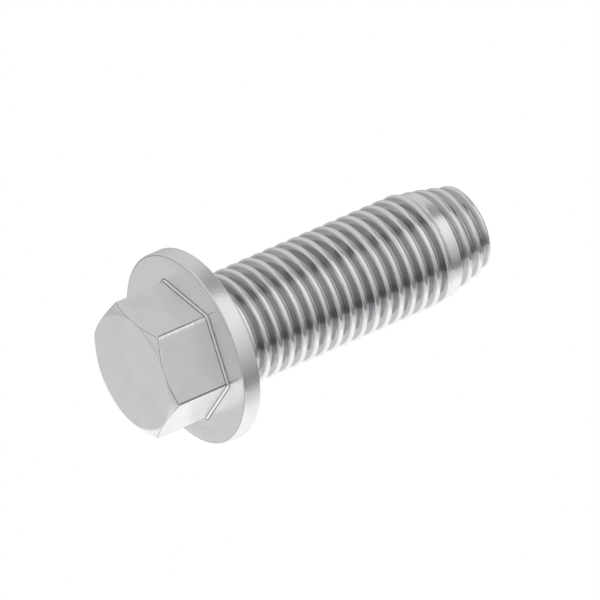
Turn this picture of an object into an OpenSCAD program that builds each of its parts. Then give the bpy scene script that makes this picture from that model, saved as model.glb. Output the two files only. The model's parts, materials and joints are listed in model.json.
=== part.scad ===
// Hex flange self-tapping screw, in one piece, with a right-hand thread.
// It stands on the end face of its head. The origin is the centre of that face,
// +Z runs along the axis to the tip, and a corner of the hexagon lies on +X.

/* [Hexagon] */
// Width of the hexagon across its flats
hex_af = 8.5; // [7:0.1:10]
// Height of the hexagon, from the end face to the flange
hex_h = 4.4; // [3:0.1:6]
// Angle of the chamfer round the end face
end_chamfer_angle = 30; // [15:1:40]
// How far the flat end face keeps inside the hexagon's flats
end_face_inset = 0.05; // [0.05:0.05:0.5]
// How far the rounding takes in the six corners
corner_cut = 0.06; // [0.02:0.01:0.2]
// Fillet where the hexagon stands on the flange
hex_foot_r = 0.2; // [0.1:0.05:0.4]

/* [Flange] */
// Diameter of the flange
flange_d = 13.6; // [12.6:0.1:17]
// Thickness of the flange
flange_t = 1.33; // [1:0.01:2.5]
// Rounding of the flange's two outer edges
flange_edge_r = 0.15; // [0.05:0.05:0.4]

/* [Neck] */
// Diameter of the plain neck under the head
neck_d = 7.3; // [7:0.1:7.6]
// Length of the plain neck, from the bearing face to the thread
neck_len = 0.5; // [0.4:0.05:1.5]
// Fillet between the bearing face and the neck
neck_fillet_r = 0.4; // [0.1:0.05:0.4]

/* [Thread] */
// Diameter over the thread's crests
thread_d = 8; // [7.8:0.05:8.6]
// Distance from one crest to the next
pitch = 1; // [0.8:0.05:1.25]
// Depth of the groove below the crests
groove_depth = 0.6; // [0.3:0.05:0.7]
// Width of a crest
crest_w = 0.2; // [0.1:0.01:0.3]
// Drop of a crest's two shoulders below its middle, which rounds it
crest_drop = 0.05; // [0.01:0.01:0.1]
// Width of the groove's floor
floor_w = 0.12; // [0.05:0.01:0.2]
// Length over which the thread rises from the neck
thread_rise_len = 0.9; // [0.5:0.05:2]
// Direction in which a crest stands at crest_height above the bearing face
crest_angle = 76.8; // [0:0.1:360]
// Height above the bearing face of the crest in that direction
crest_height = 10.59; // [9:0.01:12]

/* [Tip] */
// Length of the screw, from the bearing face to the tip
screw_len = 21.7; // [16:0.1:28]
// Length from the tip over which the point narrows
point_len = 3; // [2:0.05:4]
// Length of the plain band between the thread and the point
band_len = 0.7; // [0.2:0.05:2]
// Diameter of that band
band_d = 7.54; // [7:0.02:7.7]
// Length over which the thread fades into the band
thread_fade_len = 0.45; // [0.3:0.05:1.5]
// Diameter over the crests at the tip
tip_d = 6.2; // [5:0.1:6.8]
// Depth of the groove on the point
point_groove_depth = 0.42; // [0.1:0.02:0.5]
// Length over which that groove deepens
point_groove_rise_len = 0.2; // [0.1:0.05:1]
// Chamfer at the tip, measured along the axis and across it
tip_chamfer = 0.17; // [0.05:0.01:0.3]

/* [Hidden] */
// Steps of the thread's surface in one turn
TURN_STEPS = 40;
// How far a shape runs on into its neighbour, so that the two join
OVERLAP = 0.1;
// Share of the foot fillet's radius that it reaches, a little less than all, so that it meets both faces at an angle
FOOT_REACH = 0.96;
// Steps of the foot fillet's arc in a full circle
FOOT_FN = 48;
// How much slimmer than the neck the thread is where it leaves it
SEAT_GAP = 0.02;
$fn = 96;
bearing_z = hex_h + flange_t;
neck_top_z = bearing_z + neck_len;
tip_z = bearing_z + screw_len;
point_z = tip_z - point_len;
band_z = point_z - band_len;
full_thread_z = neck_top_z + thread_rise_len;
fade_z = band_z - thread_fade_len;
neck_r = neck_d / 2;
hex_r = hex_af / 2;

// Radius of the crests at height z. Under the neck's top the thread's core narrows inside the head.
function crest_r(z) = lookup(z, [
    [neck_top_z - 2 * pitch, neck_r / 2],
    [neck_top_z - OVERLAP, neck_r - SEAT_GAP],
    [neck_top_z, neck_r - SEAT_GAP],
    [full_thread_z, thread_d / 2],
    [fade_z, thread_d / 2],
    [band_z, band_d / 2],
    [point_z, band_d / 2],
    [tip_z - tip_chamfer, tip_d / 2],
    [tip_z, tip_d / 2 - tip_chamfer],
]);

// Depth of the groove at height z
function groove_at(z) = lookup(z, [
    [neck_top_z, 0],
    [full_thread_z, groove_depth],
    [fade_z, groove_depth],
    [band_z, 0],
    [point_z, 0],
    [point_z + point_groove_rise_len, point_groove_depth],
]);

// One pitch of the thread: the height of each point, and the share of the groove's depth that it lies below the crest
PROFILE = [
    [floor_w / 2, 1],
    [(pitch - crest_w) / 2, crest_drop / groove_depth],
    [pitch / 2, 0],
    [(pitch + crest_w) / 2, crest_drop / groove_depth],
    [pitch - floor_w / 2, 1],
];
STEPS = len(PROFILE);

// The first turn starts inside the head, a whole number of turns below the crest whose height is given
given_z = bearing_z + crest_height - pitch * (1 / 2 + crest_angle / 360);
first_z = given_z - pitch * ceil((given_z - neck_top_z) / pitch + 1);
turns = ceil((tip_z + OVERLAP - first_z) / pitch) + 1;
rows = turns * STEPS;

// Point of the thread's surface in row m, at step j of the turn
function thread_point(m, j) =
    let (
        along = PROFILE[m % STEPS],
        z = first_z + pitch * (floor(m / STEPS) + j / TURN_STEPS) + along[0],
        r = crest_r(z) - along[1] * groove_at(z)
    )
    ring_point(r, z, j);

// Point on a circle of radius r at height z, at step j of the turn
function ring_point(r, z, j) =
    let (a = 360 * j / TURN_STEPS)
    [r * cos(a), r * sin(a), z];

// Number of the point in row m at step j, where the step after the last is one turn higher
function at(m, j) = j < TURN_STEPS ? m * TURN_STEPS + j : (m + STEPS) * TURN_STEPS;

// Numbers of the points of the two rings that close the thread's surface
function low(j) = rows * TURN_STEPS + j % TURN_STEPS;
function high(j) = (rows + 1) * TURN_STEPS + j % TURN_STEPS;

module thread() {
    last = TURN_STEPS - 1;
    top = rows - 1;
    top_z = first_z + pitch * (turns + 1) + OVERLAP;
    points = [
        for (m = [0:top], j = [0:last]) thread_point(m, j),
        for (j = [0:last]) ring_point(crest_r(first_z), first_z - OVERLAP, j),
        for (j = [0:last]) ring_point(tip_d / 2 - tip_chamfer - point_groove_depth, top_z, j),
    ];
    sides = [
        for (m = [0:top - 1], j = [0:last])
            if (j < last || m + STEPS < top)
                each [
                    [at(m, j), at(m + 1, j), at(m + 1, j + 1)],
                    [at(m, j), at(m + 1, j + 1), at(m, j + 1)],
                ],
    ];
    bottom_end = [
        [for (j = [0:last]) low(j)],
        for (j = [0:last - 1])
            each [
                [low(j), at(0, j), at(0, j + 1)],
                [low(j), at(0, j + 1), low(j + 1)],
            ],
        for (m = [0:STEPS - 1]) [at(0, last), at(m + 1, 0), at(m, 0)],
        [at(0, last), at(0, 0), low(0)],
        [at(0, last), low(0), low(last)],
    ];
    top_end = [
        [for (j = [last:-1:0]) high(j)],
        for (j = [0:last - 1])
            each [
                [at(top, j), high(j), high(j + 1)],
                [at(top, j), high(j + 1), at(top, j + 1)],
            ],
        for (m = [top - STEPS:top - 1]) [at(top, 0), at(m, last), at(m + 1, last)],
        [at(top, 0), at(top, last), high(last)],
        [at(top, 0), high(last), high(0)],
    ];
    color("gainsboro")
    difference() {
        polyhedron(points, concat(sides, bottom_end, top_end));
        // The end face cuts through the last turns
        translate([-tip_d, -tip_d, tip_z])
            cube([2 * tip_d, 2 * tip_d, top_z - tip_z + OVERLAP]);
    }
}

// Outline of the hexagon, with its corners rounded off by a circle about the axis
module hexagon_outline() {
    sharp_r = hex_r / cos(30);
    intersection() {
        circle(r = sharp_r, $fn = 6);
        circle(r = sharp_r - corner_cut);
    }
}

// Fillet round the hexagon's foot: one section, widened to the corners and turned in six flat steps
module hexagon_foot() {
    reach = hex_foot_r * FOOT_REACH;
    rotate_extrude($fn = 6)
        scale([1 / cos(30), 1])
        difference() {
            translate([hex_r - OVERLAP, hex_h - reach])
                square([OVERLAP + reach, reach + OVERLAP]);
            translate([hex_r + reach, hex_h - reach])
                circle(r = hex_foot_r, $fn = FOOT_FN);
        }
}

module hexagon() {
    face_r = hex_r - end_face_inset;
    chamfer_w = hex_r - face_r + hex_af;
    color("lightgray") {
        intersection() {
            linear_extrude(hex_h + OVERLAP)
                hexagon_outline();
            rotate_extrude()
                polygon([
                    [0, 0],
                    [face_r, 0],
                    [face_r + chamfer_w, chamfer_w * tan(end_chamfer_angle)],
                    [face_r + chamfer_w, bearing_z + chamfer_w],
                    [0, bearing_z + chamfer_w],
                ]);
        }
        hexagon_foot();
    }
}

module flange() {
    flange_r = flange_d / 2;
    color("lightgray")
    translate([0, 0, hex_h])
        rotate_extrude() {
            square([flange_r - flange_edge_r, flange_t]);
            translate([0, flange_edge_r])
                square([flange_r, flange_t - 2 * flange_edge_r]);
            for (z = [flange_edge_r, flange_t - flange_edge_r])
                translate([flange_r - flange_edge_r, z])
                circle(r = flange_edge_r);
        }
}

module neck() {
    color("lightgray")
    translate([0, 0, bearing_z])
        rotate_extrude() {
            translate([0, -OVERLAP])
                square([neck_r, neck_len + OVERLAP]);
            difference() {
                translate([0, -OVERLAP])
                    square([neck_r + neck_fillet_r, neck_fillet_r + OVERLAP]);
                translate([neck_r + neck_fillet_r, neck_fillet_r])
                    circle(r = neck_fillet_r);
            }
        }
}

module screw() {
    hexagon();
    flange();
    neck();
    thread();
}

screw();
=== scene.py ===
"""Looks of a hex flange self-tapping screw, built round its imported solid.

The screw stands on the end face of its head. The origin is the centre of that face, +Z runs along
the axis to the tip, and a corner of the hexagon lies on +X. It is one closed mesh: the head is laid
out ring by ring, and the thread is made by Geometry Nodes from the same rules as the solid.
"""

import json
import logging
import math
from collections.abc import Sequence
from dataclasses import dataclass
from enum import Enum

import bmesh
import bpy
from bpy.types import Camera, Material, Mesh, Node, NodeSocket, NodeTree, Object, World
from mathutils import Matrix, Vector

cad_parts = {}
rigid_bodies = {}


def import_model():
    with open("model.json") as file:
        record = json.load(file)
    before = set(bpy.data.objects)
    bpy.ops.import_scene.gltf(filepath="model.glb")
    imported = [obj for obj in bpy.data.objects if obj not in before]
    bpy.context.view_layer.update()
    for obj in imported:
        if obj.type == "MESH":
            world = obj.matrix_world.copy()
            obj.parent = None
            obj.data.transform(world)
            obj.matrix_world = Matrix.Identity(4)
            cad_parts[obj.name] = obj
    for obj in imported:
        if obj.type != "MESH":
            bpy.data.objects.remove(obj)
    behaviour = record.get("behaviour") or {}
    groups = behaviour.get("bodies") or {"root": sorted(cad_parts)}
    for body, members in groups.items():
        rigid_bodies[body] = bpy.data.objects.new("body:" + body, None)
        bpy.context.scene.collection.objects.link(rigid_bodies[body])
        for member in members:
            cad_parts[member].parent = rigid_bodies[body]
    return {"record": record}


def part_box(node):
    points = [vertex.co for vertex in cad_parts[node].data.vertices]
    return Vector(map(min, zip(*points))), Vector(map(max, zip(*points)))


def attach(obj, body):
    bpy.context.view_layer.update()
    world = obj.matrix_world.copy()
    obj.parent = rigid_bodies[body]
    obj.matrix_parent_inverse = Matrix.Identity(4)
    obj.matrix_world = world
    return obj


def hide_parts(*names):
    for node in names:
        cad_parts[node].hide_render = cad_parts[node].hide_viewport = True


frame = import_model()

LOG = logging.getLogger("screw")
MM = 0.001
NODE = "screw"
BODY = "root"
IMAGE_SIDE = 600
HEX_SIDES = 6
MERGE_DISTANCE = 0.001 * MM
GROOVE = "groove_depth"
BURNISH = "burnish"
# Face attribute for the painted shade line beside some edges
PAINTED_SHADE_LINE = "painted_shade_line"
SHEARED = "sheared"
# Numbers of a colour mix's sockets, because its other kinds of data share their names
SHARE, FIRST, SECOND, RESULT = 0, 6, 7, 2

Colour = tuple[float, float, float, float]


def linear(hex_colour: str) -> Colour:
    """Turns a colour as written into the linear values that a shader takes.

    Args:
        hex_colour: sRGB colour, such as "#c0c4c8".

    Returns:
        Linear red, green and blue, and an alpha of 1.
    """
    values = [int(hex_colour[i : i + 2], 16) / 255 for i in (1, 3, 5)]
    red, green, blue = (v / 12.92 if v <= 0.04045 else ((v + 0.055) / 1.055) ** 2.4 for v in values)
    return red, green, blue, 1.0


def add_node(tree: NodeTree, kind: str, inputs: Sequence | dict = (), **settings: object) -> Node:
    """Adds one node with its settings and links.

    Args:
        tree: Tree that the node goes into.
        kind: Type name of the node.
        inputs: Values, sockets or nodes for its inputs, in order or by name. None leaves one alone.
        **settings: Properties of the node, such as operation.

    Returns:
        The new node.
    """
    node = tree.nodes.new(kind)
    for name, value in settings.items():
        setattr(node, name, value)
    items = inputs.items() if isinstance(inputs, dict) else enumerate(inputs)
    for key, value in items:
        if isinstance(value, Node):
            value = value.outputs[0]
        if isinstance(value, NodeSocket):
            tree.links.new(value, node.inputs[key])
        elif value is not None:
            node.inputs[key].default_value = value
    return node


def add_math(tree: NodeTree, operation: str, *inputs: object, **settings: object) -> Node:
    """Adds a math node that works on values, sockets or nodes."""
    return add_node(tree, "ShaderNodeMath", inputs, operation=operation, **settings)


def empty_tree(owner: Material | World) -> NodeTree:
    """Gives a material or world an empty node tree.

    Args:
        owner: The material or world.

    Returns:
        The tree.
    """
    owner.use_nodes = True
    owner.node_tree.nodes.clear()
    return owner.node_tree


def add_object(name: str, data: Camera | Mesh) -> Object:
    """Puts a new object into the scene.

    Args:
        name: Name of the object.
        data: What the object shows.

    Returns:
        The object.
    """
    added = bpy.data.objects.new(name, data)
    bpy.context.scene.collection.objects.link(added)
    return added


def evaluated_mesh(owner: Object) -> Mesh:
    """Returns a copy of an object's mesh with its modifiers applied."""
    evaluated = owner.evaluated_get(bpy.context.evaluated_depsgraph_get())
    return bpy.data.meshes.new_from_object(evaluated)


def unit(angle: float) -> Vector:
    """Returns the horizontal direction at an angle in radians from +X."""
    return Vector((math.cos(angle), math.sin(angle), 0.0))


@dataclass(frozen=True)
class ScrewSizes:
    """Sizes of the screw, in millimetres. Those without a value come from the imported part.

    An arc is the half width and the height of the half ellipse that rounds the thread's crest or
    root. Over the length end_soft the flat end face turns into its chamfer.
    """

    bearing_z: float
    tip_z: float
    flange_r: float
    thread_r: float
    hex_h: float
    hex_r: float = 4.25
    hex_corner_r: float = 0.3
    end_face_inset: float = 0.05
    end_chamfer: float = math.radians(30)
    end_edge_r: float = 0.13
    end_soft: float = 0.16
    foot_r: float = 0.2
    flange_edge_r: float = 0.15
    neck_r: float = 3.65
    neck_len: float = 0.5
    neck_fillet_r: float = 0.4
    pitch: float = 1.0
    groove_depth: float = 0.6
    crest_arc: tuple[float, float] = (0.165, 0.11)
    root_arc: tuple[float, float] = (0.12, 0.09)
    thread_rise_len: float = 0.9
    crest_angle: float = math.radians(76.8)
    crest_height: float = 10.59
    point_len: float = 3.0
    band_len: float = 0.7
    band_r: float = 3.77
    thread_fade_len: float = 0.45
    tip_r: float = 3.1
    point_groove_depth: float = 0.42
    point_groove_rise_len: float = 0.2
    tip_chamfer: float = 0.17

    @classmethod
    def from_frame(cls) -> "ScrewSizes":
        """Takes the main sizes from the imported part's box and mounts.

        Returns:
            The sizes, in millimetres.
        """
        low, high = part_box(NODE)
        mounts = {m["name"]: m for m in frame["record"]["mounts"]}
        return cls(
            bearing_z=mounts["bearing_face"]["pos_m"][2] / MM,
            tip_z=high.z / MM,
            flange_r=(high.x - low.x) / 2 / MM,
            thread_r=mounts["thread"]["dims"]["r_mm"],
            hex_h=mounts["hex_drive"]["dims"]["length_mm"],
        )

    @property
    def end_face_r(self) -> float:
        """Radius at which the end face goes over to its chamfer."""
        return self.hex_r - self.end_face_inset

    @property
    def neck_top_z(self) -> float:
        """Height at which the thread leaves the neck."""
        return self.bearing_z + self.neck_len

    @property
    def point_z(self) -> float:
        """Height at which the point starts to narrow."""
        return self.tip_z - self.point_len

    @property
    def band_z(self) -> float:
        """Height at which the plain band starts."""
        return self.point_z - self.band_len


class Course(Enum):
    """How a size goes from one value to the next along the axis."""

    STRAIGHT = "LINEAR"
    EASED = "SMOOTHSTEP"


@dataclass(frozen=True)
class Ramp:
    """A change of a radius or depth between two heights, in millimetres."""

    start: float
    end: float
    change: float
    course: Course = Course.STRAIGHT


@dataclass(frozen=True)
class Thread:
    """The right-hand thread with its run-out, plain band and narrowed point."""

    sizes: ScrewSizes
    columns: int = 192
    arc_points: int = 9
    halvings: int = 40

    @property
    def flank_angle(self) -> float:
        """Finds the straight flank that touches the crest's and the root's half ellipses.

        Returns:
            Its angle in radians from the screw's axis.
        """
        s = self.sizes
        arcs = (s.crest_arc, s.root_arc)
        drop = s.groove_depth - sum(height for _, height in arcs)
        low, high = 0.0, math.pi / 2
        for _ in range(self.halvings):
            angle = (low + high) / 2
            sine, cosine = math.sin(angle), math.cos(angle)
            gap = s.pitch / 2 * sine - drop * cosine
            gap -= sum(math.hypot(width * sine, height * cosine) for width, height in arcs)
            low, high = (angle, high) if gap < 0 else (low, angle)
        return (low + high) / 2

    def swing(self, arc: tuple[float, float]) -> float:
        """Returns how far round its half ellipse an arc goes before the flank starts."""
        width, height = arc
        return math.atan(width / height * math.tan(self.flank_angle))

    @property
    def first_z(self) -> float:
        """Finds the start of the first turn, which lies wholly under the neck's top.

        Returns:
            Its height in millimetres.
        """
        s = self.sizes
        given_z = s.bearing_z + s.crest_height - s.pitch * (0.5 + s.crest_angle / math.tau)
        return given_z - s.pitch * math.ceil((given_z - s.neck_top_z) / s.pitch + 2)

    def radius_ramps(self) -> list[Ramp]:
        """Works out how the crests' radius changes from the neck to the tip.

        Returns:
            The changes, in order of height.
        """
        s = self.sizes
        chamfer_z = s.tip_z - s.tip_chamfer
        fade_z = s.band_z - s.thread_fade_len
        return [
            Ramp(s.neck_top_z, s.neck_top_z + s.thread_rise_len, s.thread_r - s.neck_r),
            Ramp(fade_z, s.band_z, s.band_r - s.thread_r, Course.EASED),
            Ramp(s.point_z, chamfer_z, s.tip_r - s.band_r),
            Ramp(chamfer_z, s.tip_z, -s.tip_chamfer),
        ]

    def groove_ramps(self) -> list[Ramp]:
        """Works out how the groove's depth changes from the neck to the tip.

        Returns:
            The changes, in order of height.
        """
        s = self.sizes
        fade_z = s.band_z - s.thread_fade_len
        return_z = s.point_z + s.point_groove_rise_len
        return [
            Ramp(s.neck_top_z, s.neck_top_z + s.thread_rise_len, s.groove_depth),
            Ramp(fade_z, s.band_z, -s.groove_depth, Course.EASED),
            Ramp(s.point_z, return_z, s.point_groove_depth, Course.EASED),
        ]

    def inputs(self) -> dict[str, float | int]:
        """Lists the named inputs of the thread's node tree.

        Returns:
            The value of each, by its name.
        """
        s = self.sizes
        turns = math.ceil((s.tip_z - self.first_z) / s.pitch) + 1
        return {
            "Rows": turns * 2 * self.arc_points + 1,
            "Columns": self.columns,
            "Points in an arc": self.arc_points,
            "Pitch": s.pitch,
            "Start height": self.first_z,
            "Neck radius": s.neck_r,
            "Neck top": s.neck_top_z,
            "Groove depth": s.groove_depth,
            "Crest half width": s.crest_arc[0],
            "Crest rounding": s.crest_arc[1],
            "Crest swing": self.swing(s.crest_arc),
            "Root half width": s.root_arc[0],
            "Root rounding": s.root_arc[1],
            "Root swing": self.swing(s.root_arc),
        }

    def build(self, finish: Material) -> Mesh:
        """Runs the node tree on an empty object.

        Args:
            finish: Material that the tree gives to the thread.

        Returns:
            The thread as a plain mesh in metres, open at its foot and past the tip.
        """
        values = self.inputs()
        tree = self._tree(values)
        holder = add_object("thread_holder", bpy.data.meshes.new("thread_holder"))
        modifier = holder.modifiers.new("Thread", "NODES")
        modifier.node_group = tree
        for item in tree.interface.items_tree:
            if item.in_out == "INPUT":
                modifier[item.identifier] = finish if item.name == "Finish" else values[item.name]
        mesh = evaluated_mesh(holder)
        holder.modifiers.remove(modifier)
        bpy.data.objects.remove(holder)
        return mesh

    def _tree(self, values: dict[str, float | int]) -> NodeTree:
        """Builds the node tree: a grid of rows and columns, wound into a helix.

        Args:
            values: The named inputs, whose types the sockets take.

        Returns:
            The node tree.
        """
        tree = bpy.data.node_groups.new("Helical thread", "GeometryNodeTree")
        for name, value in values.items():
            kind = "NodeSocketInt" if isinstance(value, int) else "NodeSocketFloat"
            tree.interface.new_socket(name, in_out="INPUT", socket_type=kind)
        tree.interface.new_socket("Finish", in_out="INPUT", socket_type="NodeSocketMaterial")
        tree.interface.new_socket("Thread", in_out="OUTPUT", socket_type="NodeSocketGeometry")
        given = add_node(tree, "NodeGroupInput").outputs
        across = add_math(tree, "ADD", given["Columns"], 1.0)
        grid = add_node(
            tree, "GeometryNodeMeshGrid", {"Vertices X": given["Rows"], "Vertices Y": across}
        )
        position, depth = self._position(tree, given, across)
        marked = add_node(
            tree,
            "GeometryNodeStoreNamedAttribute",
            {"Geometry": grid, "Name": GROOVE, "Value": depth},
            data_type="FLOAT",
            domain="POINT",
        )
        placed = add_node(
            tree, "GeometryNodeSetPosition", {"Geometry": marked, "Position": position}
        )
        merged = add_node(
            tree, "GeometryNodeMergeByDistance", {"Geometry": placed, "Distance": MERGE_DISTANCE}
        )
        smooth = add_node(tree, "GeometryNodeSetShadeSmooth", {"Geometry": merged})
        real = add_node(tree, "GeometryNodeRealizeInstances", [smooth])
        dressed = add_node(
            tree, "GeometryNodeSetMaterial", {"Geometry": real, "Material": given["Finish"]}
        )
        add_node(tree, "NodeGroupOutput", [dressed])
        return tree

    def _position(
        self, tree: NodeTree, given: Sequence[NodeSocket], across: Node
    ) -> tuple[Node, Node]:
        """Adds the nodes that work out where a point of the grid goes.

        Args:
            tree: Tree that the nodes go into.
            given: Sockets of the named inputs.
            across: Number of points in a row.

        Returns:
            Nodes for the position in metres and for the depth below the crest in millimetres.
        """
        index = add_node(tree, "GeometryNodeInputIndex")
        row = add_math(tree, "FLOOR", add_math(tree, "DIVIDE", index, across))
        column = add_math(tree, "MODULO", index, across)
        share = add_math(tree, "DIVIDE", column, given["Columns"])
        arc = add_math(tree, "FLOOR", add_math(tree, "DIVIDE", row, given["Points in an arc"]))
        in_root = add_math(tree, "MODULO", arc, 2.0)
        turn = add_math(tree, "FLOOR", add_math(tree, "DIVIDE", arc, 2.0))
        step = add_math(tree, "MODULO", row, given["Points in an arc"])
        last = add_math(tree, "SUBTRACT", given["Points in an arc"], 1.0)
        swing = add_math(tree, "DIVIDE", step, last)
        swing = add_math(tree, "MULTIPLY_ADD", swing, 2.0, -1.0)
        reach, width, rounding = (
            add_node(
                tree,
                "ShaderNodeMapRange",
                {
                    "Value": in_root,
                    "To Min": given[f"Crest {name}"],
                    "To Max": given[f"Root {name}"],
                },
            )
            for name in ("swing", "half width", "rounding")
        )
        bend = add_math(tree, "MULTIPLY", swing, reach)
        turns = add_math(tree, "ADD", turn, share)
        height = self._height(tree, given, turns, in_root, width, bend)
        sunk = self._sunk(tree, given, in_root, rounding, bend)
        crest = self._ramped(tree, height, given["Neck radius"], self.radius_ramps())
        groove = self._ramped(tree, height, 0.0, self.groove_ramps())
        depth = add_math(tree, "MULTIPLY", sunk, groove)
        radius = add_math(tree, "SUBTRACT", crest, depth)
        angle = add_math(tree, "MULTIPLY", share, math.tau)
        x = add_math(tree, "MULTIPLY", radius, add_math(tree, "COSINE", angle))
        y = add_math(tree, "MULTIPLY", radius, add_math(tree, "SINE", angle))
        place = add_node(tree, "ShaderNodeCombineXYZ", [x, y, height])
        position = add_node(
            tree, "ShaderNodeVectorMath", {"Vector": place, "Scale": MM}, operation="SCALE"
        )
        return position, depth

    def _height(
        self,
        tree: NodeTree,
        given: Sequence[NodeSocket],
        turns: Node,
        in_root: Node,
        width: Node,
        bend: Node,
    ) -> Node:
        """Adds the nodes for a point's height, which never goes under the neck's top.

        Args:
            tree: Tree that the nodes go into.
            given: Sockets of the named inputs.
            turns: Number of turns up to the point, with the share of the last one.
            in_root: 1 on the arc in the groove's root, 0 on the crest's arc.
            width: Half width of the point's arc.
            bend: Angle of the point on its arc.

        Returns:
            Node whose output is the height in millimetres.
        """
        # In each turn the crest's middle is half a pitch up, and the root's a whole one
        middle = add_math(tree, "MULTIPLY_ADD", in_root, 0.5, 0.5)
        turns = add_math(tree, "ADD", turns, middle)
        wound = add_math(tree, "MULTIPLY_ADD", turns, given["Pitch"], given["Start height"])
        height = add_math(tree, "MULTIPLY_ADD", width, add_math(tree, "SINE", bend), wound)
        return add_math(tree, "MAXIMUM", height, given["Neck top"])

    def _sunk(
        self,
        tree: NodeTree,
        given: Sequence[NodeSocket],
        in_root: Node,
        rounding: Node,
        bend: Node,
    ) -> Node:
        """Adds the nodes for the share of the groove's depth that a point lies below the crest.

        Args:
            tree: Tree that the nodes go into.
            given: Sockets of the named inputs.
            in_root: 1 on the arc in the groove's root, 0 on the crest's arc.
            rounding: Height of the point's arc.
            bend: Angle of the point on its arc.

        Returns:
            Node whose output is the share, from 0 to 1.
        """
        fall = add_math(tree, "SUBTRACT", 1.0, add_math(tree, "COSINE", bend))
        fall = add_math(tree, "MULTIPLY", rounding, fall)
        fall = add_math(tree, "DIVIDE", fall, given["Groove depth"])
        # The crest's arc falls from 0, and the root's rises from 1
        side = add_math(tree, "MULTIPLY_ADD", in_root, -2.0, 1.0)
        return add_math(tree, "MULTIPLY_ADD", side, fall, in_root)

    def _ramped(
        self, tree: NodeTree, height: Node, base: NodeSocket | float, ramps: Sequence[Ramp]
    ) -> Node | NodeSocket | float:
        """Adds the nodes that follow a size along the axis.

        Args:
            tree: Tree that the nodes go into.
            height: Height of the point.
            base: Size before the first ramp.
            ramps: Changes of the size.

        Returns:
            Node whose output is the size at that height.
        """
        total = base
        for ramp in ramps:
            change = add_node(
                tree,
                "ShaderNodeMapRange",
                {
                    "Value": height,
                    "From Min": ramp.start,
                    "From Max": ramp.end,
                    "To Max": ramp.change,
                },
                interpolation_type=ramp.course.value,
            )
            total = add_math(tree, "ADD", total, change)
        return total


class Strip(Enum):
    """Kind of the faces between a ring of points and the ring below it."""

    PLAIN = "as plated"
    CORNERED = "a side of the hexagon, with its corners"
    EDGE = "rubbed bright"
    # The next two kinds are a painted shade line along an edge, the second at half strength
    LINE = "grey line that the forming tool leaves along an edge"
    FAINT_SHADE_LINE = "fainter line, where tumbling has worn it"

    @property
    def line(self) -> float:
        """Strength of the painted shade line on such faces, from 0 to 1."""
        return {Strip.LINE: 1.0, Strip.FAINT_SHADE_LINE: 0.5}.get(self, 0.0)


@dataclass(frozen=True)
class Ring:
    """A ring of points about the axis, and the kind of the faces below it."""

    points: Sequence[Vector]
    strip: Strip = Strip.PLAIN


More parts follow.
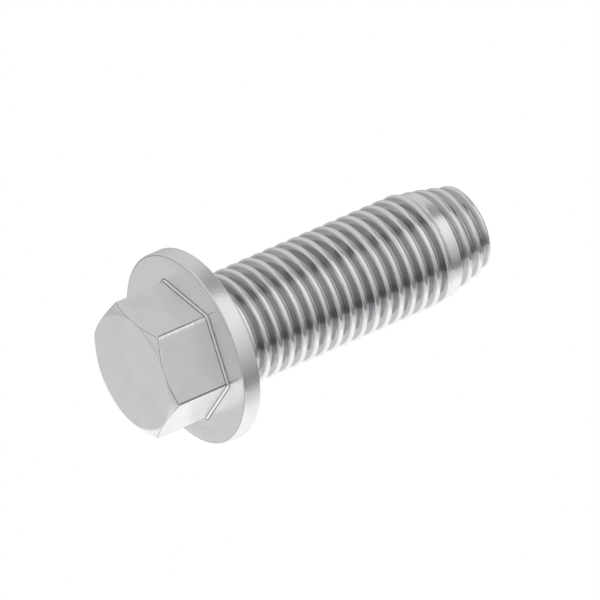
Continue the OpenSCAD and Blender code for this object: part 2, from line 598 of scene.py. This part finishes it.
@dataclass(frozen=True)
class Head:
    """The hexagon, the flange and the neck, laid out as rings of points from the end face up."""

    sizes: ScrewSizes
    columns: int = 192
    corner_steps: int = 5
    arc_steps: int = 8
    line_steps: int = 2
    # Radii of the rings on the flat end face, as shares of its own
    face_shares: tuple[float, ...] = (0.35, 0.7)
    # Most of the chamfer's height that the rounding beside the flats takes up
    edge_share: float = 0.8

    def rings(self) -> list[Ring]:
        """Returns the rings from the end face to the neck's top, in millimetres."""
        return [*self._end_rings(), *self._side_rings(), *self._flange_rings(), *self._neck_rings()]

    def kind(self, ring: Ring, column: int) -> Strip:
        """Returns the kind of the face below a ring, between a column and the one before it.

        Args:
            ring: The ring.
            column: Number of the column.

        Returns:
            The ring's own kind, or that of the corner on a side of the hexagon.
        """
        if ring.strip is not Strip.CORNERED:
            return ring.strip
        before, after = (self._corner_step(number)[1] for number in (column - 1, column))
        if max(abs(before), abs(after)) > self.corner_steps:
            return Strip.PLAIN
        return Strip.LINE if before < self.line_steps - self.corner_steps else Strip.EDGE

    def _corner_step(self, column: int) -> tuple[int, int]:
        """Finds where a column lies on the hexagon.

        Args:
            column: Number of the column.

        Returns:
            The corner that it is nearest to, and its steps from that corner's middle.
        """
        per_corner = self.columns // HEX_SIDES
        half = per_corner // 2
        corner, step = divmod(column + half, per_corner)
        return corner, step - half

    def _strips(self, before: Strip, first: Strip, middle: Strip, last: Strip) -> list[Strip]:
        """Returns the kind of each strip that leads to a rounding and across it."""
        between = [middle] * (self.arc_steps - 2 * self.line_steps)
        return [before, *[first] * self.line_steps, *between, *[last] * self.line_steps]

    def _outline(self) -> list[tuple[Vector, Vector]]:
        """Lays out the hexagon's outline with its rounded corners.

        Returns:
            The points, each with its outward direction.
        """
        s = self.sizes
        half = self.columns // HEX_SIDES // 2
        centre = (s.hex_r - s.hex_corner_r) / math.cos(math.pi / HEX_SIDES)
        flat_half = (s.hex_r - s.hex_corner_r) * math.tan(math.pi / HEX_SIDES)
        outline = []
        for column in range(self.columns):
            corner, step = self._corner_step(column)
            corner_angle = corner * math.tau / HEX_SIDES
            side = math.copysign(1, step)
            if abs(step) <= self.corner_steps:
                outward = unit(corner_angle + step / self.corner_steps * math.pi / HEX_SIDES)
                point = unit(corner_angle) * centre + outward * s.hex_corner_r
            else:
                flat_angle = corner_angle + side * math.pi / HEX_SIDES
                outward = unit(flat_angle)
                left = (half - abs(step)) / (half - self.corner_steps)
                point = outward * s.hex_r + unit(flat_angle - side * math.pi / 2) * flat_half * left
            outline.append((point, outward))
        return outline

    def _edge(self, point: Vector, outward: Vector) -> list[Vector]:
        """Rounds the edge between the end face's chamfer and a flat or corner of the hexagon.

        Args:
            point: Point of the hexagon's outline.
            outward: Its outward direction.

        Returns:
            The points of the rounding above it, from the flat to the chamfer.
        """
        s = self.sizes
        slope = math.tan(s.end_chamfer)
        lean = math.atan(slope * outward.dot(point.normalized()))
        corner_z = (point.length - s.end_face_r) * slope
        wedge = math.tan((math.pi / 2 + lean) / 2)
        reach = min(s.end_edge_r / wedge, self.edge_share * corner_z / math.sin(lean))
        edge_r = reach * wedge
        edge = []
        for i in range(self.arc_steps + 1):
            bend = (math.pi / 2 - lean) * i / self.arc_steps
            inward = edge_r * (1 - math.cos(bend))
            z = corner_z + reach - edge_r * math.sin(bend)
            edge.append(point - outward * inward + Vector((0, 0, z)))
        return edge

    def _end_rings(self) -> list[Ring]:
        """Lays out the end face, its chamfer and the rounded edge beside the flats.

        Returns:
            The rings, from the middle of the end face to the flats.
        """
        s = self.sizes
        slope = math.tan(s.end_chamfer)
        plain = [Strip.PLAIN] * (len(self.face_shares) + self.arc_steps + 1)
        edge_strips = self._strips(Strip.PLAIN, Strip.LINE, Strip.EDGE, Strip.EDGE)
        rings = [Ring([], strip) for strip in (*plain, *edge_strips)]
        inner_r = s.end_face_r - s.end_soft
        for point, outward in self._outline():
            edge = self._edge(point, outward)
            foot = edge[-1].xy.to_3d()
            ray = foot.normalized()
            soft = min(s.end_soft, (foot.length - s.end_face_r) / 2)
            path = [ray * inner_r * share for share in self.face_shares]
            # The flat face bends into its chamfer along a quadratic curve
            start = ray * inner_r
            middle = ray * s.end_face_r
            end = ray * (s.end_face_r + soft) + Vector((0, 0, soft * slope))
            for i in range(self.arc_steps + 1):
                t = i / self.arc_steps
                path.append(start * (1 - t) ** 2 + middle * 2 * t * (1 - t) + end * t**2)
            path.extend(reversed(edge))
            for ring, place in zip(rings, path, strict=True):
                ring.points.append(place)
        return rings

    def _side_rings(self) -> list[Ring]:
        """Lays out the fillet round the hexagon's foot.

        Returns:
            The rings, from the flats to the flange.
        """
        s = self.sizes
        rings = []
        strips = self._strips(Strip.CORNERED, Strip.LINE, Strip.PLAIN, Strip.LINE)
        for i, strip in enumerate(strips):
            bend = math.pi / 2 * i / self.arc_steps
            out = s.foot_r * (1 - math.cos(bend))
            lift = Vector((0, 0, s.hex_h - s.foot_r * (1 - math.sin(bend))))
            points = [point + outward * out + lift for point, outward in self._outline()]
            rings.append(Ring(points, strip))
        return rings

    def _circle(self, radius: float, z: float, strip: Strip = Strip.PLAIN) -> Ring:
        """Returns a ring of evenly spaced points about the axis."""
        angles = [math.tau * i / self.columns for i in range(self.columns)]
        return Ring([unit(angle) * radius + Vector((0, 0, z)) for angle in angles], strip)

    def _flange_rings(self) -> list[Ring]:
        """Lays out the flange's front, its rim with two rounded edges and its bearing face.

        Returns:
            The rings, from the front to the bearing face.
        """
        s = self.sizes
        edge_centre_r = s.flange_r - s.flange_edge_r
        sharp_corner_r = s.hex_r / math.cos(math.pi / HEX_SIDES)
        rings = [self._circle((sharp_corner_r + edge_centre_r) / 2, s.hex_h)]
        front_z = s.hex_h + s.flange_edge_r
        back_z = s.bearing_z - s.flange_edge_r
        for z, start, strips in (
            (front_z, -math.pi / 2, self._strips(Strip.PLAIN, Strip.FAINT_SHADE_LINE, Strip.EDGE, Strip.EDGE)),
            (back_z, 0.0, self._strips(Strip.PLAIN, Strip.EDGE, Strip.EDGE, Strip.FAINT_SHADE_LINE)),
        ):
            for i, strip in enumerate(strips):
                bend = start + math.pi / 2 * i / self.arc_steps
                rings.append(
                    self._circle(
                        edge_centre_r + s.flange_edge_r * math.cos(bend),
                        z + s.flange_edge_r * math.sin(bend),
                        strip,
                    )
                )
        rings.append(self._circle((edge_centre_r + s.neck_r) / 2, s.bearing_z))
        return rings

    def _neck_rings(self) -> list[Ring]:
        """Lays out the fillet under the flange and the plain neck.

        Returns:
            The rings, from the bearing face to the thread.
        """
        s = self.sizes
        rings = []
        for i in range(self.arc_steps + 1):
            bend = math.pi / 2 * i / self.arc_steps
            radius = s.neck_r + s.neck_fillet_r * (1 - math.sin(bend))
            z = s.bearing_z + s.neck_fillet_r * (1 - math.cos(bend))
            rings.append(self._circle(radius, z))
        rings.append(self._circle(s.neck_r, s.neck_top_z))
        return rings


@dataclass(frozen=True)
class ZincPlate:
    """Bright zinc plating on cold-formed steel, tumbled in a barrel while it is plated.

    The head is pressed in a die and keeps the die's fine matt grain under the zinc: it mirrors the
    room softly, with a faint mottle and broad pale clouds where the coat is thicker. The thread is
    rolled between hard polished flats, which burnish it: it mirrors sharply, with fine lines along
    the thread, and less so on the plain band, which they hardly touch. The colour goes greyer down
    the groove, which is painted shade, and a painted shade line runs beside the edges; tumbling
    rubs the edges bright. The tip's end face is where the wire was sheared off, and is duller.
    """

    groove_depth: float
    name: str = "bright_zinc_plated_steel"
    colour: str = "#f4f4f5"
    cloud_tint: str = "#fafafb"
    # Painted shade: the flank and root colours grey the groove towards its root
    flank_shade_colour: str = "#bfc0c1"
    root_shade_colour: str = "#c0c1c2"
    # Colour of the painted shade line beside some edges
    shade_line_colour: str = "#8d8e90"
    # Shares of the groove's depth at which the crest's colour ends, and the flank's painted shade
    # starts and ends
    groove_shade_shares: tuple[float, float, float] = (0.12, 0.3, 0.76)
    head_roughness: float = 0.26
    burnished_roughness: float = 0.1
    # Share of the thread's burnish that the plain band has
    band_burnish: float = 0.4
    # What the sheared end face and the clouds add to the roughness
    sheared_roughness: float = 0.22
    cloud_roughness: float = 0.03
    cloud_size: float = 2.0
    # Values of the noise at the edge of a cloud and inside it
    cloud_levels: tuple[float, float] = (0.35, 0.7)
    # The die's real grain is about 0.03 mm, too fine to show, and is drawn five times as coarse
    grain_size: float = 0.16
    grain_height: float = 0.008
    # Rolling lines are about 0.01 mm apart, too fine to show, and are drawn much farther apart
    line_spacing: float = 0.22
    line_length: float = 5.0
    line_height: float = 0.07

    def material(self) -> Material:
        """Makes the plated metal from its nodes.

        Returns:
            The material.
        """
        material = bpy.data.materials.new(self.name)
        tree = empty_tree(material)
        place = add_node(tree, "ShaderNodeTexCoord").outputs["Object"]
        burnish = add_node(tree, "ShaderNodeAttribute", attribute_name=BURNISH).outputs["Fac"]
        roughness = add_node(
            tree,
            "ShaderNodeMapRange",
            {
                "Value": burnish,
                "To Min": self.head_roughness,
                "To Max": self.burnished_roughness,
            },
        )
        clouds = self._clouds(tree, place)
        roughness = add_math(tree, "MULTIPLY_ADD", clouds, self.cloud_roughness, roughness)
        sheared = add_node(tree, "ShaderNodeAttribute", attribute_name=SHEARED).outputs["Fac"]
        roughness = add_math(tree, "MULTIPLY_ADD", sheared, self.sheared_roughness, roughness)
        # Coat colour with painted shade down the groove, tinted by the clouds
        coat = add_node(
            tree,
            "ShaderNodeMix",
            {SHARE: clouds, FIRST: self._coat_and_groove_shade(tree, sheared), SECOND: linear(self.cloud_tint)},
            data_type="RGBA",
            blend_type="MULTIPLY",
        ).outputs[RESULT]
        # Painted shade line beside some edges, mixed over the coat
        line = add_node(tree, "ShaderNodeAttribute", attribute_name=PAINTED_SHADE_LINE).outputs["Fac"]
        colour = add_node(
            tree,
            "ShaderNodeMix",
            {SHARE: line, FIRST: coat, SECOND: linear(self.shade_line_colour)},
            data_type="RGBA",
        ).outputs[RESULT]
        shader = add_node(
            tree,
            "ShaderNodeBsdfPrincipled",
            {
                "Base Color": colour,
                "Metallic": 1.0,
                "Roughness": roughness,
                "Normal": self._relief(tree, place, burnish),
            },
        )
        add_node(tree, "ShaderNodeOutputMaterial", [shader])
        return material

    def _clouds(self, tree: NodeTree, place: NodeSocket) -> NodeSocket:
        """Adds broad soft clouds, where the coat is a little thicker and duller.

        Args:
            tree: The material's tree.
            place: Place on the object.

        Returns:
            Socket whose value is 1 in a cloud and 0 beside it.
        """
        edge, inside = self.cloud_levels
        noise = add_node(
            tree,
            "ShaderNodeTexNoise",
            {"Vector": place, "Scale": 1 / (self.cloud_size * MM), "Detail": 3.0},
        )
        return add_node(
            tree,
            "ShaderNodeMapRange",
            {"Value": noise.outputs["Fac"], "From Min": edge, "From Max": inside},
            interpolation_type="SMOOTHSTEP",
        ).outputs["Result"]

    def _relief(self, tree: NodeTree, place: NodeSocket, burnish: NodeSocket) -> Node:
        """Adds the die's grain on the head and the rolling lines round the thread.

        Args:
            tree: The material's tree.
            place: Place on the object.
            burnish: 1 on the thread and the rubbed edges, 0 elsewhere.

        Returns:
            Node whose output is the normal.
        """
        grain = add_node(
            tree,
            "ShaderNodeTexNoise",
            {"Vector": place, "Scale": 1 / (self.grain_size * MM), "Detail": 1.0},
        )
        along = add_node(tree, "ShaderNodeSeparateXYZ", [place])
        flat = add_node(tree, "ShaderNodeCombineXYZ", [along.outputs["X"], along.outputs["Y"]])
        radius = add_node(tree, "ShaderNodeVectorMath", [flat], operation="LENGTH").outputs["Value"]
        stretched = add_node(
            tree,
            "ShaderNodeVectorMath",
            {"Vector": flat, "Scale": self.line_spacing / self.line_length},
            operation="SCALE",
        )
        parts = add_node(tree, "ShaderNodeSeparateXYZ", [stretched])
        # Radius and height run across the lines, and the shortened x and y along them
        across = add_math(tree, "SUBTRACT", along.outputs["Z"], radius)
        wound = add_node(
            tree, "ShaderNodeCombineXYZ", [parts.outputs["X"], parts.outputs["Y"], across]
        )
        lines = add_node(
            tree,
            "ShaderNodeTexNoise",
            {"Vector": wound, "Scale": 1 / (self.line_spacing * MM), "Detail": 1.0},
        )
        matt = add_math(tree, "MULTIPLY", grain, self.grain_height * MM)
        rolled = add_math(tree, "MULTIPLY", lines, self.line_height * MM)
        height = add_node(
            tree, "ShaderNodeMapRange", {"Value": burnish, "To Min": matt, "To Max": rolled}
        )
        return add_node(tree, "ShaderNodeBump", {"Height": height, "Distance": 1.0})

    def _coat_and_groove_shade(self, tree: NodeTree, sheared: NodeSocket) -> Node:
        """Adds the coat's colour, with painted shade that goes greyer down the groove's flanks.

        Args:
            tree: The material's tree.
            sheared: 1 on the end face at the tip, which has no groove, and 0 elsewhere.

        Returns:
            Node whose output is the colour.
        """
        depth = add_node(tree, "ShaderNodeAttribute", attribute_name=GROOVE).outputs["Fac"]
        rolled = add_math(tree, "SUBTRACT", 1.0, sheared)
        depth = add_math(tree, "MULTIPLY", depth, rolled)
        share = add_node(
            tree, "ShaderNodeMapRange", {"Value": depth, "From Max": self.groove_depth}
        )
        ramp = add_node(tree, "ShaderNodeValToRGB", [share])
        stops = ramp.color_ramp.elements
        stops[0].color = linear(self.colour)
        stops[-1].color = linear(self.root_shade_colour)
        for at, colour in zip(
            self.groove_shade_shares, (self.colour, self.flank_shade_colour, self.flank_shade_colour), strict=True
        ):
            stops.new(at).color = linear(colour)
        return ramp


@dataclass(frozen=True)
class Screw:
    """The whole screw as one closed mesh."""

    sizes: ScrewSizes
    finish: ZincPlate
    smooth_angle: float = math.radians(38)

    def build(self) -> Object:
        """Joins head and thread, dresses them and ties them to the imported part.

        Returns:
            The screw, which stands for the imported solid.
        """
        material = self.finish.material()
        thread = Thread(self.sizes)
        head = Head(self.sizes, columns=thread.columns)
        shape = bmesh.new()
        shape.from_mesh(thread.build(material))
        burnish = shape.faces.layers.float.new(BURNISH)
        for face in shape.faces:
            height = face.calc_center_median().z / MM
            on_band = self.sizes.band_z < height < self.sizes.point_z
            face[burnish] = self.finish.band_burnish if on_band else 1.0
        self._cut_tip(shape)
        self._add_head(shape, head)
        bmesh.ops.remove_doubles(shape, verts=shape.verts[:], dist=MERGE_DISTANCE)
        bmesh.ops.recalc_face_normals(shape, faces=shape.faces[:])
        open_edges = sum(not edge.is_manifold for edge in shape.edges)
        mesh = bpy.data.meshes.new("screw_body")
        shape.to_mesh(mesh)
        shape.free()
        mesh.shade_smooth()
        mesh.set_sharp_from_angle(angle=self.smooth_angle)
        end_z = self.sizes.tip_z * MM - MERGE_DISTANCE
        for edge in mesh.edges:
            if all(mesh.vertices[number].co.z > end_z for number in edge.vertices):
                edge.use_edge_sharp = True
        mesh.materials.clear()
        mesh.materials.append(material)
        screw = add_object("screw_body", mesh)
        self._weigh_normals(screw)
        LOG.info("screw_body: %d faces, %d open edges", len(screw.data.polygons), open_edges)
        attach(screw, BODY)
        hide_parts(NODE)
        return screw

    def _cut_tip(self, shape: bmesh.types.BMesh) -> None:
        """Cuts the last turns off at the tip and closes the flat end face.

        Args:
            shape: The thread, which is changed.
        """
        tip = Vector((0, 0, self.sizes.tip_z * MM))
        everything = [*shape.verts, *shape.edges, *shape.faces]
        bmesh.ops.bisect_plane(
            shape,
            geom=everything,
            dist=MERGE_DISTANCE / 10,
            plane_co=tip,
            plane_no=(0, 0, 1),
            clear_outer=True,
        )
        rim = [e for e in shape.edges if e.is_boundary and e.verts[0].co.z > tip.z - MERGE_DISTANCE]
        sheared = shape.faces.layers.float.new(SHEARED)
        centre = shape.verts.new(tip)
        for edge in rim:
            face = shape.faces.new((*edge.verts, centre))
            face[sheared] = 1.0

    def _add_head(self, shape: bmesh.types.BMesh, head: Head) -> None:
        """Adds the head's faces, from the centre of the end face to the neck's top.

        Args:
            shape: The thread, to which the head is added.
            head: The head.
        """
        painted_shade_line = shape.faces.layers.float.new(PAINTED_SHADE_LINE)
        burnish = shape.faces.layers.float[BURNISH]
        centre = shape.verts.new((0, 0, 0))
        rings = head.rings()
        rows = [[shape.verts.new(place * MM) for place in ring.points] for ring in rings]
        for i in range(head.columns):
            shape.faces.new((centre, rows[0][i], rows[0][i - 1]))
            for lower, upper, ring in zip(rows, rows[1:], rings[1:]):
                face = shape.faces.new((lower[i - 1], lower[i], upper[i], upper[i - 1]))
                kind = head.kind(ring, i)
                face[burnish] = float(kind is not Strip.PLAIN)
                # Strength of the painted shade line beside some edges
                face[painted_shade_line] = kind.line

    def _weigh_normals(self, screw: Object) -> None:
        """Makes the shading follow the large faces, so that flats stay flat beside their roundings.

        Args:
            screw: The object, whose mesh is exchanged.
        """
        modifier = screw.modifiers.new("Weighted normals", "WEIGHTED_NORMAL")
        modifier.keep_sharp = True
        mesh = evaluated_mesh(screw)
        screw.modifiers.remove(modifier)
        screw.data = mesh


@dataclass(frozen=True)
class PhotoCamera:
    """The photograph's view: parallel, from below the standing screw's head, and rolled."""

    sizes: ScrewSizes
    facing: float = math.radians(76.8)
    below: float = math.radians(27.94)
    roll: float = math.radians(23.42)
    # Millimetres that a pixel of the photograph shows
    pixel: float = 0.06683
    # Pixel of the middle of the flange's front
    flange_at: tuple[float, float] = (185.58, 349.23)
    distance: float = 200.0
    clip_start: float = 10.0

    def build(self) -> Object:
        """Places the camera and makes it the scene's.

        Returns:
            The camera.
        """
        across = unit(self.facing - math.pi / 2)
        towards = unit(self.facing)
        axis = Vector((0, 0, 1))
        back = towards * math.cos(self.below) - axis * math.sin(self.below)
        lean = towards * math.sin(self.below) + axis * math.cos(self.below)
        right = lean * math.cos(self.roll) - across * math.sin(self.roll)
        up = lean * math.sin(self.roll) + across * math.cos(self.roll)
        middle = IMAGE_SIDE / 2
        aim = axis * self.sizes.hex_h
        aim += right * (middle - self.flange_at[0]) * self.pixel
        aim += up * (self.flange_at[1] - middle) * self.pixel
        place = (aim + back * self.distance) * MM
        data = bpy.data.cameras.new("camera")
        data.type = "ORTHO"
        data.ortho_scale = IMAGE_SIDE * self.pixel * MM
        data.clip_start = self.clip_start * MM
        data.clip_end = 2 * self.distance * MM
        camera = add_object("camera", data)
        turned = Matrix((right, up, back)).transposed()
        camera.matrix_world = Matrix.Translation(place) @ turned.to_4x4()
        bpy.context.scene.camera = camera
        return camera


@dataclass(frozen=True)
class Zone:
    """Brightness on three sides at one elevation, in degrees above the studio's horizon."""

    elevation: float
    dim: float
    opposite: float
    front: float


@dataclass(frozen=True)
class Side:
    """A side of the studio, and how far its middle leans from level to the tip.

    An edge is the cosine of the angle from that middle at which the side starts, and at which it is
    full: low_edge under the horizon, high_edge over it.
    """

    lean: float
    low_edge: tuple[float, float]
    high_edge: tuple[float, float]


@dataclass(frozen=True)
class Studio:
    """A pale floor that keeps the shadow, and soft light from all round.

    The light is that of a studio in which the screw lies on its side with a flat of the hexagon up:
    a white table, a dim horizon, a large soft box in front, a dim wall past the tip and pale walls
    elsewhere.
    """

    overhead: float = math.radians(30)
    dim: Side = Side(math.radians(102), (0.8, 0.95), (0.77, 0.91))
    front: Side = Side(math.radians(24), (0.0, 0.4), (0.42, 0.65))
    # Sines of the elevations between which a side's low edge goes over to its high one
    horizon: tuple[float, float] = (-0.1, 0.3)
    # Elevations in degrees between which the white table starts to show in the metal
    table_edge: tuple[float, float] = (-42.0, -54.0)
    # Metres across, and millimetres under the screw, so that the two never flicker
    floor_side: float = 3.0
    floor_drop: float = 0.02
    floor_colour: str = "#f4f4f4"
    # What the floor lacks to white under this studio's light
    floor_glow: float = 0.44
    zones: tuple[Zone, ...] = (
        Zone(-90, 1.04, 0.85, 1.04),
        Zone(-55, 1.02, 0.8, 1.02),
        Zone(-45, 0.97, 0.75, 0.85),
        Zone(-36, 0.8, 0.61, 0.7),
        Zone(-29, 0.67, 0.55, 0.63),
        Zone(-26, 0.62, 0.52, 0.26),
        Zone(-14, 0.54, 0.52, 0.23),
        Zone(-4, 0.54, 0.57, 0.4),
        Zone(10, 0.5, 0.64, 0.54),
        Zone(25, 0.46, 0.64, 0.68),
        Zone(37, 0.44, 0.64, 0.81),
        Zone(48, 0.36, 0.6, 0.89),
        Zone(60, 0.32, 0.67, 0.91),
        Zone(71, 0.34, 0.67, 0.89),
        Zone(77, 0.4, 0.66, 0.62),
        Zone(90, 0.6, 0.6, 0.6),
    )

    def build(self) -> None:
        """Makes the world and the floor."""
        self._world()
        self._floor()

    def _world(self) -> None:
        """Makes the world: white behind the object, and the studio's light on it."""
        world = bpy.data.worlds.new("studio")
        tree = empty_tree(world)
        direction = add_node(tree, "ShaderNodeTexCoord").outputs["Generated"]
        level = add_node(
            tree, "ShaderNodeVectorMath", [direction, unit(self.overhead)], operation="DOT_PRODUCT"
        ).outputs["Value"]
        brightest = max(zone.front for zone in self.zones)
        sides = add_node(tree, "ShaderNodeSeparateColor", [self._zone_ramp(tree, level, brightest)])
        brightness = sides.outputs["Green"]
        for side, channel in ((self.dim, "Red"), (self.front, "Blue")):
            brightness = add_node(
                tree,
                "ShaderNodeMapRange",
                {
                    "Value": self._share(tree, direction, level, side),
                    "To Min": brightness,
                    "To Max": sides.outputs[channel],
                },
            )
        studio = add_node(tree, "ShaderNodeBackground", [brightness, brightest])
        backdrop = add_node(tree, "ShaderNodeBackground", [(1.0, 1.0, 1.0, 1.0), 1.0])
        seen = self._backdrop_share(tree, level)
        mixed = add_node(tree, "ShaderNodeMixShader", [seen, studio, backdrop])
        add_node(tree, "ShaderNodeOutputWorld", [mixed])
        bpy.context.scene.world = world

    def _share(self, tree: NodeTree, direction: NodeSocket, level: NodeSocket, side: Side) -> Node:
        """Adds the nodes that say how far a direction lies on one side of the studio.

        Args:
            tree: The world's tree.
            direction: The direction.
            level: Sine of its elevation above the studio's horizon.
            side: The side.

        Returns:
            Node whose output is 1 on that side and 0 off it.
        """
        middle = unit(self.overhead + math.pi / 2) * math.cos(side.lean)
        middle += Vector((0, 0, math.sin(side.lean)))
        along = add_node(
            tree, "ShaderNodeVectorMath", [direction, middle], operation="DOT_PRODUCT"
        ).outputs["Value"]
        squared = add_math(tree, "MULTIPLY", level, level)
        level_part = add_math(tree, "SQRT", add_math(tree, "SUBTRACT", 1.0, squared))
        along = add_math(tree, "DIVIDE", along, level_part)
        low, high = self.horizon
        outer, inner = (
            add_node(
                tree,
                "ShaderNodeMapRange",
                {
                    "Value": level,
                    "From Min": low,
                    "From Max": high,
                    "To Min": below,
                    "To Max": above,
                },
            )
            for below, above in zip(side.low_edge, side.high_edge)
        )
        return add_node(
            tree,
            "ShaderNodeMapRange",
            {"Value": along, "From Min": outer, "From Max": inner},
            interpolation_type="SMOOTHSTEP",
        )

    def _zone_ramp(self, tree: NodeTree, level: NodeSocket, brightest: float) -> Node:
        """Adds the ramp of the zones: dim side in red, opposite side in green, front in blue.

        Args:
            tree: The world's tree.
            level: Sine of the elevation above the studio's horizon.
            brightest: Brightness that the ramp's 1 stands for.

        Returns:
            The colour ramp.
        """
        place = add_node(tree, "ShaderNodeMapRange", {"Value": level, "From Min": -1.0})
        ramp = add_node(tree, "ShaderNodeValToRGB", [place])
        stops = ramp.color_ramp.elements
        last = len(self.zones) - 1
        for number, zone in enumerate(self.zones):
            at = (math.sin(math.radians(zone.elevation)) + 1) / 2
            stop = stops[number] if number in (0, last) else stops.new(at)
            stop.position = at
            shades = (zone.dim, zone.opposite, zone.front)
            stop.color = (*[shade / brightest for shade in shades], 1.0)
        return ramp

    def _backdrop_share(self, tree: NodeTree, level: NodeSocket) -> Node:
        """Adds the nodes that say where a ray meets the white backdrop.

        The camera meets it everywhere. Reflected and transmitted rays meet it where the table lies.

        Args:
            tree: The world's tree.
            level: Sine of the elevation above the studio's horizon.

        Returns:
            Node whose output is 1 on the backdrop and 0 elsewhere.
        """
        far, near = (math.sin(math.radians(edge)) for edge in self.table_edge)
        table = add_node(
            tree,
            "ShaderNodeMapRange",
            {"Value": level, "From Min": far, "From Max": near},
            interpolation_type="SMOOTHSTEP",
        )
        path = add_node(tree, "ShaderNodeLightPath").outputs
        mirrored = add_math(tree, "MAXIMUM", path["Is Glossy Ray"], path["Is Transmission Ray"])
        camera = path["Is Camera Ray"]
        return add_math(tree, "MULTIPLY_ADD", mirrored, table, camera, use_clamp=True)

    def _floor(self) -> Object:
        """Makes the floor, which is seen from above only.

        Returns:
            The floor.
        """
        shape = bmesh.new()
        bmesh.ops.create_grid(shape, x_segments=1, y_segments=1, size=self.floor_side / 2)
        mesh = bpy.data.meshes.new("floor")
        shape.to_mesh(mesh)
        shape.free()
        mesh.transform(Matrix.Translation((0, 0, -self.floor_drop * MM)))
        mesh.materials.append(self._floor_material())
        floor = add_object("floor", mesh)
        floor.visible_diffuse = False
        floor.visible_glossy = False
        floor.visible_transmission = False
        floor.visible_shadow = False
        return floor

    def _floor_material(self) -> Material:
        """Makes matt white paint that keeps the shadow and can't be seen from below.

        Returns:
            The paint.
        """
        material = bpy.data.materials.new("matt_floor")
        tree = empty_tree(material)
        paint = add_node(tree, "ShaderNodeBsdfDiffuse", {"Color": linear(self.floor_colour)})
        path = add_node(tree, "ShaderNodeLightPath").outputs
        seen = add_math(tree, "MAXIMUM", path["Is Glossy Ray"], path["Is Transmission Ray"])
        seen = add_math(tree, "MAXIMUM", seen, path["Is Camera Ray"])
        glow = add_math(tree, "MULTIPLY", seen, self.floor_glow)
        lift = add_node(tree, "ShaderNodeEmission", {"Strength": glow})
        white = add_node(tree, "ShaderNodeAddShader", [paint, lift])
        clear = add_node(tree, "ShaderNodeBsdfTransparent")
        side = add_node(tree, "ShaderNodeNewGeometry").outputs["Backfacing"]
        mixed = add_node(tree, "ShaderNodeMixShader", [side, white, clear])
        add_node(tree, "ShaderNodeOutputMaterial", [mixed])
        return material


def main() -> None:
    """Builds the screw, the camera and the studio, and reports each."""
    logging.basicConfig(level=logging.INFO, format="%(name)s: %(message)s")
    scene = bpy.context.scene
    scene.view_settings.view_transform = "Standard"
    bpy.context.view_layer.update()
    sizes = ScrewSizes.from_frame()
    camera = PhotoCamera(sizes).build()
    LOG.info("camera at %s", [round(v, 4) for v in camera.location])
    Studio().build()
    LOG.info("studio with its floor")
    Screw(sizes, ZincPlate(sizes.groove_depth)).build()


if __name__ == "__main__":
    main()
